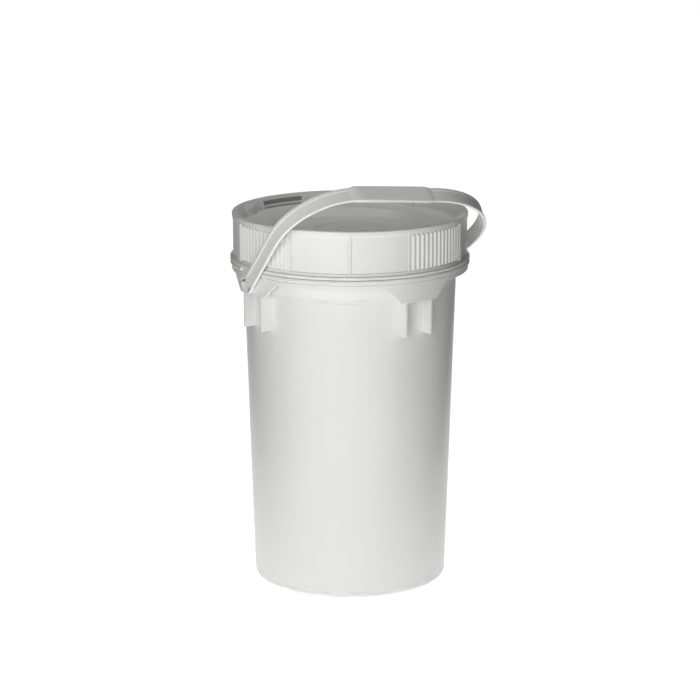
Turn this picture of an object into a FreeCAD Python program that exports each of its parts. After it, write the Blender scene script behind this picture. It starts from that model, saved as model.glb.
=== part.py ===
import FreeCAD, Part
import math
import os

import Sketcher

# A round plastic fermenting pail with a screw lid, a sealing ring and a one-piece bail handle.
# Frame: millimetres, +Z up, origin at the centre of the underside.
# The bail's pivots lie on X, and the two plain ears lie on Y.

App = FreeCAD
os.makedirs("parts", exist_ok=True)
doc = App.newDocument("fermenting_pail")

# ---------------------------------------------------------------- driving dimensions

DIMENSIONS = [
    # tapered body
    ("body_taper", 12.3, "how much narrower in radius the bottom is than the body's top"),
    ("base_corner", 7.0, "rounding of the bottom edge"),
    ("foot_width", 10.0, "width of the ring that the pail stands on"),
    ("foot_depth", 3.0, "height of the hollow inside the foot ring"),
    ("floor_thickness", 3.2, "thickness of the bottom"),
    ("wall", 2.4, "thickness of the tapered wall"),
    # collar and neck
    ("collar_level", 416.5, "height of the collar's lower edge"),
    ("apron_height", 5.5, "height of the collar's plain band"),
    ("groove_height", 1.6, "height of the groove between band and bead"),
    ("bead_height", 5.2, "height of the collar's round bead"),
    ("collar_out", 6.2, "how far the plain band and the ears stand out past the neck"),
    ("groove_depth", 1.4, "depth of the groove below the plain band"),
    ("bead_out", 8.0, "how far the round bead stands out past the neck"),
    ("skin", 2.6, "thickness of the collar band and the ears"),
    ("neck_radius", 148.2, "outside radius of the threaded neck, which every other radius follows"),
    ("neck_step", 9.2, "how much narrower in radius the body's top is than the neck"),
    ("neck_wall", 2.6, "thickness of the neck"),
    ("neck_length", 56.5, "height of the neck above the collar bead"),
    # ears, fins and pivot marks
    ("ear_drop", 20.0, "how far an ear hangs below the collar"),
    ("ear_top_half", 48.0, "half width of an ear at the collar"),
    ("ear_low_half", 27.5, "half width of an ear at its lower edge"),
    ("fin_spacing", 38.0, "distance between the two fins of an ear"),
    ("fin_thickness", 3.4, "thickness of a fin"),
    ("fin_inset", 2.2, "how far a fin stays inside the ear's face"),
    ("fin_drop", 65.0, "how far the fins reach down below the collar"),
    ("overlap", 1.0, "how far joined shapes run into each other"),
    ("bead_edge", 1.5, "rounding of the collar bead"),
    ("bead_gap_half", 24.0, "half width of the bead's break beside the bail"),
    ("pip_radius", 1.7, "radius of the small pips beside the bail"),
    ("pip_offset", 24.5, "distance of the pips from the bail's middle"),
    ("pip_rise", 5.0, "height of the upper pips above the pivot axis"),
    ("pip_step", 6.0, "vertical distance between two pips"),
    ("pip_height", 1.1, "how far a pip stands out of the ear"),
    # screw thread
    ("thread_starts", 4, "number of thread starts"),
    ("thread_lead", 24.0, "rise of the lid in one full turn"),
    ("thread_arc", 80.0, "length of each thread start in degrees"),
    ("thread_rise", 27.2, "height of the neck threads' start above the collar bead"),
    ("thread_depth", 1.8, "how far a thread stands out of its wall"),
    ("thread_width", 2.2, "height of a thread at its root"),
    ("thread_crest", 1.0, "height of a thread at its crest"),
    # lid
    ("thread_embed", 0.4, "how far a thread runs into its wall"),
    ("lid_gap", 0.6, "gap between the collar bead and the lid"),
    ("seal_height", 2.8, "thickness of the sealing ring"),
    ("seal_gap", 0.3, "gap beside the sealing ring"),
    ("seal_edge", 0.6, "rounding of the sealing ring's edges"),
    ("lid_top_wall", 2.7, "thickness of the lid over the sealing ring"),
    ("lid_wall", 2.0, "thickness of the lid's skirt panels"),
    ("thread_gap", 0.6, "gap between a thread's crest and the facing wall"),
    ("lid_bead_height", 4.2, "height of the bead round the skirt's lower edge"),
    ("lid_bead_out", 3.8, "how far that bead stands out of the panels"),
    ("lid_lip_height", 7.6, "height of the skirt's plain lower band, bead included"),
    ("lid_band_out", 1.1, "how far the plain bands stand out of the panels"),
    ("lid_rim_height", 6.6, "height of the plain band at the top"),
    ("lid_crest_width", 7.4, "width of the lid's flat crest"),
    ("lid_bevel_width", 5.4, "width of the bevel inside the crest"),
    ("lid_bevel_height", 6.0, "height of that bevel"),
    ("well_inset", 3.6, "how far the recess wall leans in"),
    ("well_depth", 15.0, "depth of the outer deck below the crest"),
    ("well_wall", 2.4, "thickness of the lid's recess"),
    ("deck_width", 33.3, "width of the outer deck, from the recess wall to the step"),
    ("deck_step_width", 12.0, "width of that step"),
    ("deck_depth", 24.5, "depth of the inner deck below the crest"),
    ("boss_radius", 47.0, "radius of the shallow disc in the middle"),
    ("boss_depth", 1.4, "depth of that disc"),
    ("boss_ring_radius", 19.0, "radius of the ring in the middle of the disc"),
    ("boss_ring_width", 3.0, "width of that ring"),
    ("lid_bead_edge", 1.4, "rounding of the lid's bead"),
    ("rim_edge", 1.8, "rounding of the rim's outer edge"),
    ("crest_edge", 1.5, "rounding of the rim's inner edge"),
    ("well_edge", 2.5, "rounding between the recess wall and its deck"),
    ("deck_edge", 6.0, "rounding of the step in the deck"),
    ("rib_radius", 2.0, "radius of a grip rib"),
    ("rib_out", 2.1, "how far a grip rib stands out of the panels"),
    ("rib_pitch", 2.65, "angle between two grip ribs in degrees"),
    ("rib_count", 13, "grip ribs in each of the four groups"),
    ("rib_first", 31.4, "angle from the middle bar to the first rib in degrees"),
    ("rib_clear", 1.2, "distance from the rib ends to the plain bands"),
    ("divider_width", 2.4, "width of the upright bars between the panels"),
    ("divider_angle", 29.0, "angle from the middle bar to the outer bars in degrees"),
    ("end_bar_angle", 66.6, "angle from the middle bar to the wide end bars in degrees"),
    ("end_bar_width", 7.0, "width of the wide bar that ends each group of ribs"),
    ("lid_turned", -125.0, "direction of the lid's first plain panel in degrees"),
    # bail handle
    ("pivot_drop", 7.5, "depth of the bail's pivot axis below the collar's lower edge"),
    ("pin_radius", 6.0, "radius of the pivot pins"),
    ("pin_clearance", 0.08, "running clearance of the pins, on the radius"),
    ("pin_head_radius", 9.0, "radius of the heads behind the ears"),
    ("pin_head", 2.6, "thickness of the heads"),
    ("hub_radius", 9.5, "radius of the hub between strap and ear"),
    ("side_play", 0.4, "play of the bail between the ears' two faces"),
    ("strap_gap", 1.2, "gap between the lid's bead and the strap"),
    ("strap_width", 20.0, "width of the strap"),
    ("strap_thickness", 4.0, "thickness of the strap"),
    ("strap_groove", 12.0, "width of the shallow channel along the strap"),
    ("strap_groove_depth", 0.9, "depth of that channel"),
    ("strap_edge", 0.8, "rounding of the strap's edges"),
    ("bail_clearance", 3.0, "gap between the swinging grip and the edge of the lid"),
    ("right_bend", 120.0, "radius of the bail's right shoulder"),
    ("left_bend", 89.0, "radius of the bail's left shoulder"),
    ("grip_setback", 6.6, "distance from the right shoulder to the grip's end"),
    ("grip_left_slope", 11.0, "slope of the strap at the grip's left end in degrees"),
    ("grip_width", 23.0, "width of the grip"),
    ("grip_thickness", 5.4, "thickness of the grip"),
    ("grip_edge", 1.5, "rounding of the grip's edges"),
    ("grip_rib_pitch", 24.0, "distance between two of the four ribs under the grip"),
    ("grip_rib_inset", 3.0, "distance from a rib's end to the grip's edge"),
    ("grip_rib_out", 1.2, "height of a rib"),
    ("grip_rib_width", 2.4, "width of a rib"),
    ("bail_lean", 47.7, "lean of the resting bail's middle from upright in degrees"),
    ("bail_twist", 6.7, "further lean at its right pivot, as the strap has taken a set"),
]

sheet = doc.addObject("Spreadsheet::Sheet", "dims")
for row, (alias, value, note) in enumerate(DIMENSIONS, start=1):
    sheet.set("A%d" % row, str(value))
    sheet.setAlias("A%d" % row, alias)
    sheet.set("B%d" % row, note)
doc.recompute()


def as_size(value):
    """A Size as it is, or a plain number made into one."""
    return value if isinstance(value, Size) else Size(float(value), repr(float(value)))


class Size:
    """A length that knows both its value and the expression that it comes from."""

    def __init__(self, value, text):
        self.value = value
        self.text = text

    def __add__(self, other):
        other = as_size(other)
        return Size(self.value + other.value, "(%s + %s)" % (self.text, other.text))

    def __sub__(self, other):
        other = as_size(other)
        return Size(self.value - other.value, "(%s - %s)" % (self.text, other.text))

    def __mul__(self, other):
        other = as_size(other)
        return Size(self.value * other.value, "(%s * %s)" % (self.text, other.text))

    def __truediv__(self, other):
        other = as_size(other)
        return Size(self.value / other.value, "(%s / %s)" % (self.text, other.text))

    def __neg__(self):
        return self * -1

    def root(self):
        """The square root."""
        return Size(math.sqrt(self.value), "sqrt(%s)" % self.text)

    def sine(self):
        """The sine of an angle in degrees."""
        return Size(math.sin(math.radians(self.value)), "sin(%s)" % self.text)

    def cosine(self):
        """The cosine of an angle in degrees."""
        return Size(math.cos(math.radians(self.value)), "cos(%s)" % self.text)


class Dimensions:
    """Every row of the sheet as a Size, such as dim.wall."""

    def __init__(self):
        for alias, value, note in DIMENSIONS:
            setattr(self, alias, Size(float(sheet.get(alias)), "dims.%s" % alias))


dim = Dimensions()
ZERO = Size(0.0, "0")


def bind(thing, **sizes):
    """Binds properties of a document object to sizes from the sheet."""
    for name, size in sizes.items():
        thing.setExpression(name.replace("__", "."), size.text)


# ---------------------------------------------------------------- sketch and feature helpers

def origin_part(body, role):
    """One of the body's own planes or axes, such as XZ_Plane or Z_Axis."""
    return next(part for part in body.Origin.OriginFeatures if part.Role == role)


def hold(sketch, geometry, position, target_x, target_y):
    """Fixes one point of a sketch at (target_x, target_y), bound to the sheet."""
    for kind, target in (("DistanceX", target_x), ("DistanceY", target_y)):
        number = sketch.addConstraint(
            Sketcher.Constraint(kind, -1, 1, geometry, position, target.value))
        sketch.setExpression("Constraints[%d]" % number, target.text)


def outline(sketch, corners):
    """Draws a closed outline. A corner is (x, y) or (x, y, radius), each bound to the sheet."""
    corners = [tuple(as_size(value) for value in corner) for corner in corners]
    count = len(corners)
    vectors = [App.Vector(corner[0].value, corner[1].value, 0) for corner in corners]
    starts, ends = list(vectors), list(vectors)
    for index, corner in enumerate(corners):
        if len(corner) == 3:
            here = vectors[index]
            back = (vectors[index - 1] - here).normalize()
            ahead = (vectors[(index + 1) % count] - here).normalize()
            reach = corner[2].value / math.tan(back.getAngle(ahead) / 2)
            ends[index] = here + back * reach
            starts[index] = here + ahead * reach
    lines = []
    for index in range(count):
        lines.append(sketch.addGeometry(
            Part.LineSegment(starts[index], ends[(index + 1) % count]), False))
    for index, corner in enumerate(corners):
        before, after = lines[index - 1], lines[index]
        if len(corner) == 2:
            sketch.addConstraint(Sketcher.Constraint("Coincident", before, 2, after, 1))
            hold(sketch, after, 1, corner[0], corner[1])
            continue
        turns_left = (vectors[index] - vectors[index - 1]).cross(
            vectors[(index + 1) % count] - vectors[index]).z > 0
        sides = (ends[index], starts[index]) if turns_left else (starts[index], ends[index])
        arc = sketch.addGeometry(corner_arc(sides[0], sides[1], vectors[index], corner[2].value))
        first, last = (1, 2) if turns_left else (2, 1)
        tip = sketch.addGeometry(Part.Point(vectors[index]), True)
        hold(sketch, tip, 1, corner[0], corner[1])
        sketch.addConstraint(Sketcher.Constraint("PointOnObject", tip, 1, before))
        sketch.addConstraint(Sketcher.Constraint("PointOnObject", tip, 1, after))
        sketch.addConstraint(Sketcher.Constraint("Tangent", before, 2, arc, first))
        sketch.addConstraint(Sketcher.Constraint("Tangent", arc, last, after, 1))
        number = sketch.addConstraint(Sketcher.Constraint("Radius", arc, corner[2].value))
        sketch.setExpression("Constraints[%d]" % number, corner[2].text)


def corner_arc(start, end, tip, radius):
    """The arc that rounds a corner between two points on its sides."""
    middle = (start + end) * 0.5
    inward = (middle - tip).normalize()
    centre = tip + inward * math.sqrt(radius ** 2 + (start - tip).Length ** 2)
    top = centre + (tip - centre).normalize() * radius
    return Part.ArcOfCircle(start, top, end)


def body_sketch(body, name, role, corners=None, offset=None):
    """A sketch on one of the body's own origin planes, moved along its normal by offset."""
    sketch = body.newObject("Sketcher::SketchObject", name)
    sketch.AttachmentSupport = [(origin_part(body, role), "")]
    sketch.MapMode = "FlatFace"
    if offset is not None:
        sketch.AttachmentOffset = App.Placement(App.Vector(0, 0, offset.value), App.Rotation())
        sketch.setExpression("AttachmentOffset.Base.z", offset.text)
    if corners:
        outline(sketch, corners)
    return sketch


def turned(name, corners):
    """A body turned about Z from an outline of (radius, height) corners."""
    body = doc.addObject("PartDesign::Body", name)
    sketch = body_sketch(body, name + "_outline", "XZ_Plane", corners)
    turn = body.newObject("PartDesign::Revolution", name + "_turn")
    turn.Profile = sketch
    turn.ReferenceAxis = (sketch, ["V_Axis"])
    turn.Angle = 360.0
    return body


def place_about_z(thing, degrees, tilt=None):
    """Turns an object about Z, after an optional first rotation."""
    turn = App.Rotation(App.Vector(0, 0, 1), degrees)
    thing.Placement = App.Placement(App.Vector(), turn * (tilt or App.Rotation()))


def joined(name, pieces):
    fuse = doc.addObject("Part::MultiFuse", name)
    fuse.Shapes = pieces
    fuse.Refine = False
    return fuse


def cut(name, base, tool):
    result = doc.addObject("Part::Cut", name)
    result.Base = base
    result.Tool = tool
    result.Refine = False
    return result


def pad(body, name, sketch, length, symmetric=False):
    """A pad of a sketch along its normal, or to both sides of it."""
    feature = body.newObject("PartDesign::Pad", name)
    feature.Profile = sketch
    feature.Length = length.value
    feature.setExpression("Length", length.text)
    feature.Midplane = symmetric
    return feature


def thread(body, name, root_radius, crest_radius, level, first=None):
    """Short helical threads, one for each start, on a wall of root_radius."""
    inward = dim.thread_embed if crest_radius.value < root_radius.value else -dim.thread_embed
    sketch = body_sketch(body, name + "_section", "XZ_Plane", [
        (root_radius + inward, level - dim.thread_width / 2),
        (root_radius + inward, level + dim.thread_width / 2),
        (crest_radius, level + dim.thread_crest / 2),
        (crest_radius, level - dim.thread_crest / 2),
    ])
    if first is not None:
        sketch.AttachmentOffset = App.Placement(
            App.Vector(), App.Rotation(App.Vector(0, 1, 0), first.value))
        sketch.setExpression("AttachmentOffset.Rotation.Angle", first.text + " * 1 deg")
    helix = body.newObject("PartDesign::AdditiveHelix", name + "_start")
    helix.Profile = sketch
    helix.ReferenceAxis = (sketch, ["V_Axis"])
    helix.Mode = 1
    bind(helix, Pitch=dim.thread_lead, Turns=dim.thread_arc / 360.0)
    doc.recompute()
    pattern = body.newObject("PartDesign::PolarPattern", name + "_all")
    pattern.Originals = [helix]
    pattern.Axis = (origin_part(body, "Z_Axis"), [""])
    pattern.Angle = 360.0
    pattern.Occurrences = int(dim.thread_starts.value)
    body.Tip = pattern
    return pattern


# ---------------------------------------------------------------- shared levels and radii

body_top_radius = dim.neck_radius - dim.neck_step
base_radius = body_top_radius - dim.body_taper
collar_radius = dim.neck_radius + dim.collar_out
bead_radius = dim.neck_radius + dim.bead_out
bead_low = dim.collar_level + dim.apron_height + dim.groove_height
bead_top = bead_low + dim.bead_height
neck_top = bead_top + dim.neck_length
neck_inside = dim.neck_radius - dim.neck_wall
seal_top = neck_top + dim.seal_height
lid_low = bead_top + dim.lid_gap
lid_top = seal_top + dim.lid_top_wall
lid_inside = dim.neck_radius + dim.thread_depth + dim.thread_gap
panel_radius = lid_inside + dim.lid_wall
rim_radius = panel_radius + dim.lid_band_out
lid_bead_radius = panel_radius + dim.lid_bead_out
seal_inside = neck_inside - dim.seal_gap
draft = dim.body_taper / dim.collar_level
ear_inside = collar_radius - dim.skin
pivot_level = dim.collar_level - dim.pivot_drop
thread_level = bead_top + dim.thread_rise


# ---------------------------------------------------------------- pail

def pail_outside():
    """The pail's outer form as a full solid, with the threads on its neck."""
    band_top = dim.collar_level + dim.apron_height
    groove_radius = collar_radius - dim.groove_depth
    foot_inside = base_radius - dim.foot_width
    body = turned("pail_outside", [
        (ZERO, dim.foot_depth),
        (foot_inside, dim.foot_depth),
        (foot_inside, ZERO),
        (base_radius, ZERO, dim.base_corner),
        (body_top_radius, dim.collar_level),
        (dim.neck_radius, bead_low),
        (ear_inside, bead_low),
        (ear_inside, dim.collar_level),
        (collar_radius, dim.collar_level),
        (collar_radius, band_top),
        (groove_radius, band_top),
        (groove_radius, bead_low),
        (bead_radius, bead_low, dim.bead_edge),
        (bead_radius, bead_top, dim.bead_edge),
        (dim.neck_radius, bead_top),
        (dim.neck_radius, neck_top),
        (ZERO, neck_top),
    ])
    thread(body, "pail_thread", dim.neck_radius, dim.neck_radius + dim.thread_depth,
           thread_level)
    return body


def pail_inside():
    """The space inside the pail, cut out of its outer form."""
    floor_level = dim.foot_depth + dim.floor_thickness
    return turned("pail_inside", [
        (ZERO, floor_level),
        (base_radius - dim.wall + draft * floor_level, floor_level, dim.base_corner),
        (body_top_radius - dim.wall, dim.collar_level),
        (neck_inside, bead_low + dim.wall),
        (neck_inside, neck_top + dim.overlap),
        (ZERO, neck_top + dim.overlap),
    ])


def ear_skins():
    """Four ears that hang from the collar, cut from one ring by tapered blocks."""
    ring_low = dim.collar_level - dim.ear_drop
    overlap = dim.apron_height / 2
    height = dim.ear_drop + overlap
    rings = []
    for name, radius in (("ear_ring_outside", collar_radius), ("ear_ring_inside", ear_inside)):
        cylinder = doc.addObject("Part::Cylinder", name)
        bind(cylinder, Radius=radius, Height=height, Placement__Base__z=ring_low)
        rings.append(cylinder)
    ring = cut("ear_ring", rings[0], rings[1])
    flare = (dim.ear_top_half - dim.ear_low_half) / dim.ear_drop * overlap
    upright = App.Rotation(App.Vector(1, 0, 0), 90)
    blocks = []
    for quarter in range(4):
        block = doc.addObject("Part::Wedge", "ear_block_%d" % quarter)
        place_about_z(block, 90 * quarter, upright)
        bind(block,
             Xmin=-dim.ear_low_half, Xmax=dim.ear_low_half,
             X2min=-(dim.ear_top_half + flare), X2max=dim.ear_top_half + flare,
             Ymin=ring_low, Ymax=ring_low + height,
             Zmin=ZERO, Zmax=bead_radius, Z2min=ZERO, Z2max=bead_radius)
        blocks.append(block)
    ears = doc.addObject("Part::MultiCommon", "ears")
    ears.Shapes = [ring, joined("ear_blocks", blocks)]
    ears.Refine = False
    return ears


def ear_fins():
    """Two upright fins under each ear, from the wall out to just inside the ear's face."""
    inner = base_radius
    fin_bottom = dim.collar_level - dim.fin_drop
    fins = []
    for quarter in range(4):
        for side in (-1, 1):
            fin = doc.addObject("Part::Box", "fin_%d_%s" % (quarter, "left" if side < 0 else "right"))
            turn = App.Rotation(App.Vector(0, 0, 1), 90 * quarter)
            corner_y = dim.fin_spacing / 2 * side - dim.fin_thickness / 2
            fin.Placement = App.Placement(App.Vector(), turn)
            cosine, sine = (1, 0, -1, 0)[quarter], (0, 1, 0, -1)[quarter]
            bind(fin,
                 Length=collar_radius - dim.fin_inset - inner,
                 Width=dim.fin_thickness,
                 Height=bead_low + dim.overlap - fin_bottom,
                 Placement__Base__x=inner * cosine - corner_y * sine,
                 Placement__Base__y=inner * sine + corner_y * cosine,
                 Placement__Base__z=fin_bottom)
            fins.append(fin)
    return fins


def pivot_pips():
    """Small round pips, two on each side of the bail on both of its ears."""
    pips = []
    face = (collar_radius * collar_radius - dim.pip_offset * dim.pip_offset).root()
    for end in (-1, 1):
        for side in (-1, 1):
            for step in (0, 1):
                pip = doc.addObject("Part::Sphere", "pip_%d" % len(pips))
                bind(pip, Radius=dim.pip_radius,
                     Placement__Base__x=(face + dim.pip_height - dim.pip_radius) * end,
                     Placement__Base__y=dim.pip_offset * side,
                     Placement__Base__z=pivot_level + dim.pip_rise - dim.pip_step * step)
                pips.append(pip)
    return pips


def pail_cuts():
    """The pivot holes and the breaks of the bead on both sides of the bail."""
    tools = []
    for end in (-1, 1):
        hole = doc.addObject("Part::Cylinder", "pivot_hole_%d" % len(tools))
        hole.Placement = App.Placement(App.Vector(), App.Rotation(App.Vector(0, 1, 0), 90 * end))
        bind(hole, Radius=dim.pin_radius + dim.pin_clearance, Height=dim.skin * 4,
             Placement__Base__x=(ear_inside - dim.skin) * end,
             Placement__Base__z=pivot_level)
        tools.append(hole)
        gap = doc.addObject("Part::Box", "bead_gap_%d" % len(tools))
        start = collar_radius - dim.groove_depth
        length = bead_radius + dim.overlap - start
        bind(gap, Length=length, Width=dim.bead_gap_half * 2, Height=dim.bead_height + dim.overlap,
             Placement__Base__x=start if end > 0 else -(start + length),
             Placement__Base__y=-dim.bead_gap_half,
             Placement__Base__z=bead_low)
        tools.append(gap)
    return tools


def make_pail():
    solid = joined("pail_solid", [pail_outside(), ear_skins()] + ear_fins() + pivot_pips())
    tools = joined("pail_tools", [pail_inside()] + pail_cuts())
    return cut("pail", solid, tools)


# ---------------------------------------------------------------- lid

def upright_bar(body, name, angle, width, out):
    """An upright bar on the skirt's panels, at an angle from the middle bar."""
    low = lid_low + dim.lid_lip_height
    sketch = body_sketch(body, name + "_section", "XY_Plane", [
        (panel_radius - dim.overlap, -(width / 2)),
        (panel_radius + out, -(width / 2)),
        (panel_radius + out, width / 2),
        (panel_radius - dim.overlap, width / 2),
    ])
    sketch.AttachmentOffset = App.Placement(
        App.Vector(0, 0, low.value), App.Rotation(App.Vector(0, 0, 1), angle.value))
    sketch.setExpression("AttachmentOffset.Base.z", low.text)
    sketch.setExpression("AttachmentOffset.Rotation.Angle", angle.text + " * 1 deg")
    return pad(body, name, sketch, lid_top - dim.lid_rim_height - low)


def repeat(body, name, originals, fan=None):
    """Repeats features over the lid: a fan of ribs, its mirror image and the opposite side."""
    steps = []
    multi = body.newObject("PartDesign::MultiTransform", name)
    multi.Originals = originals
    if fan:
        count, pitch = fan
        spread = body.newObject("PartDesign::PolarPattern", name + "_fan")
        spread.Axis = (origin_part(body, "Z_Axis"), [""])
        spread.Occurrences = int(count.value)
        spread.Angle = (pitch * (count - 1.0)).value
        spread.setExpression("Angle", (pitch * (count - 1.0)).text + " * 1 deg")
        steps.append(spread)
    mirror = body.newObject("PartDesign::Mirrored", name + "_mirror")
    mirror.MirrorPlane = (origin_part(body, "XZ_Plane"), [""])
    steps.append(mirror)
    opposite = body.newObject("PartDesign::PolarPattern", name + "_opposite")
    opposite.Axis = (origin_part(body, "Z_Axis"), [""])
    opposite.Occurrences = 2
    opposite.Angle = 360.0
    steps.append(opposite)
    multi.Transformations = steps
    body.Tip = multi
    doc.recompute()


def make_lid():
    """The lid: skirt, crest, stepped recess, threads inside and grip ribs outside."""
    deck = lid_top - dim.well_depth
    inner_deck = lid_top - dim.deck_depth
    disc = inner_deck - dim.boss_depth
    crest_inside = rim_radius - dim.lid_crest_width
    bevel_inside = crest_inside - dim.lid_bevel_width
    well_radius = bevel_inside - dim.well_inset
    step_radius = well_radius - dim.deck_width
    step_low_radius = step_radius - dim.deck_step_width
    ring_inside = dim.boss_ring_radius - dim.boss_ring_width
    channel = seal_inside - dim.seal_gap
    under = disc - dim.well_wall
    lip_top = lid_low + dim.lid_lip_height
    bead_high = lid_low + dim.lid_bead_height
    band_low = lid_top - dim.lid_rim_height
    body = turned("lid", [
        (lid_inside, lid_low),
        (lid_bead_radius, lid_low, dim.lid_bead_edge),
        (lid_bead_radius, bead_high, dim.lid_bead_edge),
        (rim_radius, bead_high),
        (rim_radius, lip_top),
        (panel_radius, lip_top),
        (panel_radius, band_low),
        (rim_radius, band_low),
        (rim_radius, lid_top, dim.rim_edge),
        (crest_inside, lid_top, dim.crest_edge),
        (bevel_inside, lid_top - dim.lid_bevel_height),
        (well_radius, deck, dim.well_edge),
        (step_radius, deck, dim.deck_edge),
        (step_low_radius, inner_deck, dim.deck_edge),
        (dim.boss_radius, inner_deck),
        (dim.boss_radius, disc),
        (dim.boss_ring_radius, disc),
        (dim.boss_ring_radius, inner_deck),
        (ring_inside, inner_deck),
        (ring_inside, disc),
        (ZERO, disc),
        (ZERO, under),
        (step_low_radius + dim.well_wall, under, dim.deck_edge),
        (step_radius + dim.well_wall, deck - dim.well_wall, dim.deck_edge),
        (well_radius + dim.well_wall, deck - dim.well_wall, dim.well_edge),
        (channel, lid_top - dim.lid_bevel_height),
        (channel, seal_top),
        (lid_inside, seal_top),
    ])
    pitch = dim.thread_lead / dim.thread_starts
    thread(body, "lid_thread", lid_inside, lid_inside - dim.thread_depth,
           thread_level - pitch / 2, ZERO - dim.lid_turned)
    rib_low = lid_low + dim.lid_lip_height + dim.rib_clear
    rib_sketch = body_sketch(body, "rib_section", "XY_Plane")
    centre = panel_radius + dim.rib_out - dim.rib_radius
    circle = rib_sketch.addGeometry(Part.Circle(App.Vector(centre.value, 0, 0),
                                                App.Vector(0, 0, 1), dim.rib_radius.value))
    hold(rib_sketch, circle, 3, centre, ZERO)
    number = rib_sketch.addConstraint(Sketcher.Constraint("Radius", circle, dim.rib_radius.value))
    rib_sketch.setExpression("Constraints[%d]" % number, dim.rib_radius.text)
    rib_sketch.AttachmentOffset = App.Placement(
        App.Vector(0, 0, rib_low.value), App.Rotation(App.Vector(0, 0, 1), dim.rib_first.value))
    rib_sketch.setExpression("AttachmentOffset.Base.z", rib_low.text)
    rib_sketch.setExpression("AttachmentOffset.Rotation.Angle", dim.rib_first.text + " * 1 deg")
    rib = pad(body, "rib", rib_sketch, band_low - dim.rib_clear - rib_low)
    doc.recompute()
    repeat(body, "ribs", [rib], (dim.rib_count, dim.rib_pitch))
    middle = upright_bar(body, "middle_bar", ZERO, dim.divider_width, dim.lid_band_out)
    outer = upright_bar(body, "outer_bar", dim.divider_angle, dim.divider_width, dim.lid_band_out)
    end = upright_bar(body, "end_bar", dim.end_bar_angle, dim.end_bar_width, dim.rib_out)
    doc.recompute()
    repeat(body, "bars", [middle, outer, end])
    place_about_z(body, dim.lid_turned.value)
    body.setExpression("Placement.Rotation.Angle", dim.lid_turned.text + " * 1 deg")
    return body


def make_seal():
    """The soft sealing ring between the neck's edge and the lid."""
    return turned("sealing_ring", [
        (seal_inside, neck_top, dim.seal_edge),
        (lid_inside - dim.seal_gap, neck_top, dim.seal_edge),
        (lid_inside - dim.seal_gap, seal_top, dim.seal_edge),
        (seal_inside, seal_top, dim.seal_edge),
    ])


# ---------------------------------------------------------------- bail handle

strap_inside = lid_bead_radius + dim.strap_gap
strap_outside = strap_inside + dim.strap_thickness
strap_middle = strap_inside + dim.strap_thickness / 2
rim_rise = lid_top - pivot_level
grip_reach = (rim_radius * rim_radius + rim_rise * rim_rise).root() + dim.bail_clearance
strap_top = grip_reach + dim.strap_thickness / 2


def shoulder_point(side, bend, slope):
    """The strap's middle on its right (1) or left (-1) shoulder, where it slopes so many degrees."""
    angle = math.radians(slope)
    run = strap_middle - bend + bend * math.cos(angle)
    height = strap_top - bend + bend * math.sin(angle)
    return run * side, height, as_size(90 - side * (90 - slope))


def bail_place(thing, point, inward=ZERO, across=ZERO, before=ZERO):
    """Binds a placement on the bail, which leans over and is twisted about its pivot axis.

    The three last sizes move the thing from the strap's middle: towards the strap's inner face,
    to one edge of the strap, and back along it.
    """
    x, height, slope = point
    lean = dim.bail_lean + dim.bail_twist * x / strap_middle
    step = "placement(vector(%s; %s; %s); rotation(vector(%d; %d; 0); %s))"
    thing.setExpression("Placement", " * ".join([
        step % (0, 0, pivot_level.text, 1, 0, lean.text),
        step % (x.text, 0, height.text, 0, 1, (-slope).text),
        step % ((-inward).text, (-across).text, (-before).text, 1, 0, 0)]))


def bail_loft(name, points, corners):
    """A solid that runs through one cross-section at each of the points along the bail."""
    sections = []
    for number, point in enumerate(points):
        section = doc.addObject("Sketcher::SketchObject", "%s_section_%d" % (name, number))
        outline(section, corners)
        bail_place(section, point)
        sections.append(section)
    loft = doc.addObject("Part::Loft", name)
    loft.Sections = sections
    loft.Solid = True
    return loft


def make_strap():
    """The strap, with a shallow channel along its outer face."""
    inner, outer = -dim.strap_thickness / 2, dim.strap_thickness / 2
    channel_floor = outer - dim.strap_groove_depth
    edge, channel = dim.strap_width / 2, dim.strap_groove / 2
    points = [(strap_middle, ZERO, ZERO), (strap_middle, (strap_top - dim.right_bend) / 2, ZERO)]
    points += [shoulder_point(1, dim.right_bend, slope) for slope in range(0, 91, 15)]
    points += [shoulder_point(-1, dim.left_bend, slope) for slope in range(90, -1, -15)]
    points += [(-strap_middle, (strap_top - dim.left_bend) / 2, as_size(180)),
               (-strap_middle, ZERO, as_size(180))]
    return bail_loft("strap", points, [
        (inner, -edge, dim.strap_edge),
        (outer, -edge, dim.strap_edge),
        (outer, -channel),
        (channel_floor, -channel),
        (channel_floor, channel),
        (outer, channel),
        (outer, edge, dim.strap_edge),
        (inner, edge, dim.strap_edge),
    ])


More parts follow.
